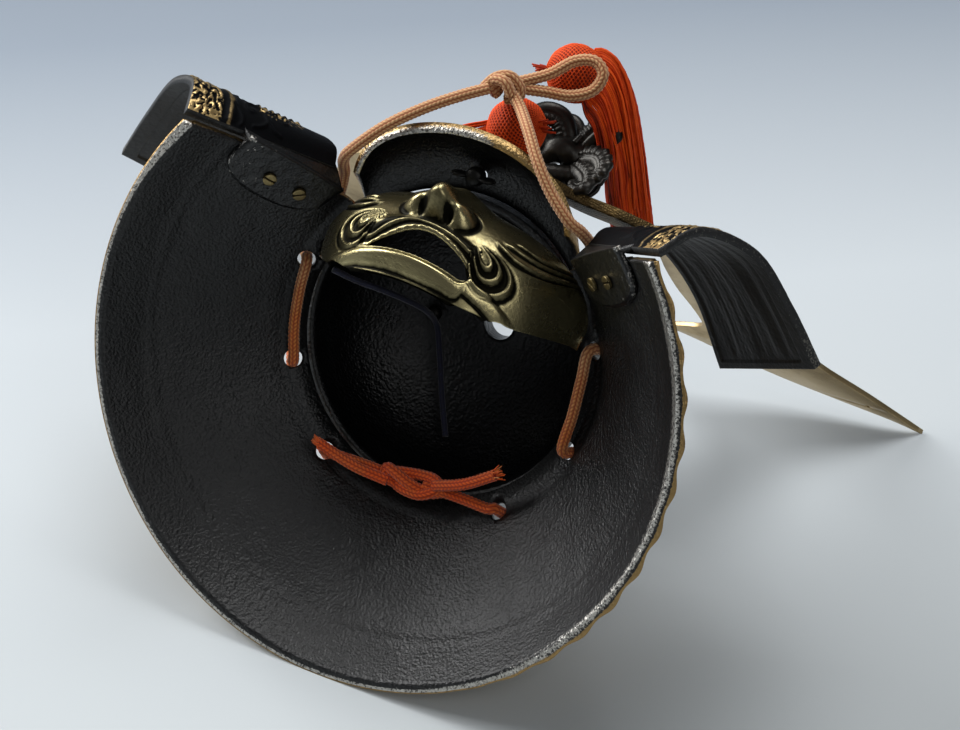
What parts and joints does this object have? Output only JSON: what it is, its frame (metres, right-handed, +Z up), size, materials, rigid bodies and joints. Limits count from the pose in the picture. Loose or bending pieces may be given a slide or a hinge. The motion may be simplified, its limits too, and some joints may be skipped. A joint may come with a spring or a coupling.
{
  "type": "kabuto samurai helmet",
  "caption": "Cast ornamental samurai helmet lying on its back, with a flared neck guard, crest horns, turned back flaps, a brass half mask, tassels and a knotted chin cord.",
  "frame": {"origin": "middle of the footprint, on the plane that the helmet lies on", "axes": "+X to the wearer's left along the horns, +Y from the neck guard's opening toward the crown, +Z up from the surface; the crown points level and 25.8 degrees down, and the chin side of the mask faces -Y"},
  "size_m": [0.406, 0.2932, 0.229],
  "materials": {
    "black_lacquered_iron": "black lacquer over a grainy casting, ground bare on the rims",
    "gilt_bronze": "worn gilding over dark bronze",
    "aged_brass": "aged and lightly polished",
    "dark_brass": "cast, with dark patina in the recesses",
    "black_bronze": "black patina, rubbed on the high places",
    "salmon_braid": "round braid, faded",
    "red_cord": "knitted net and twisted strands",
    "navy_braid": "thin round braid"
  },
  "bodies": {
    "root": {"neck_guard": "black_lacquered_iron", "bowl": "black_lacquered_iron", "visor": "black_lacquered_iron", "crest_holder": "gilt_bronze", "horn_left": "aged_brass", "horn_right": "aged_brass", "front_crest": "black_bronze", "visor_wing_nut": "black_bronze", "turnback_left": "gilt_bronze", "turnback_right": "gilt_bronze", "tab_screw_left_1": "aged_brass", "tab_screw_left_2": "aged_brass", "tab_screw_right_1": "aged_brass", "tab_screw_right_2": "aged_brass", "face_mask": "dark_brass", "bowl_stud": "black_bronze", "tassel_high": "red_cord", "tassel_low": "red_cord", "chin_cord_knot": "salmon_braid", "back_cord_knot": "salmon_braid", "chin_cord_left": "salmon_braid", "chin_cord_right": "salmon_braid", "chin_cord_loop": "salmon_braid", "back_cord_end_left": "salmon_braid", "back_cord_end_right": "salmon_braid", "mask_cord": "navy_braid"}
  },
  "joints": []
}
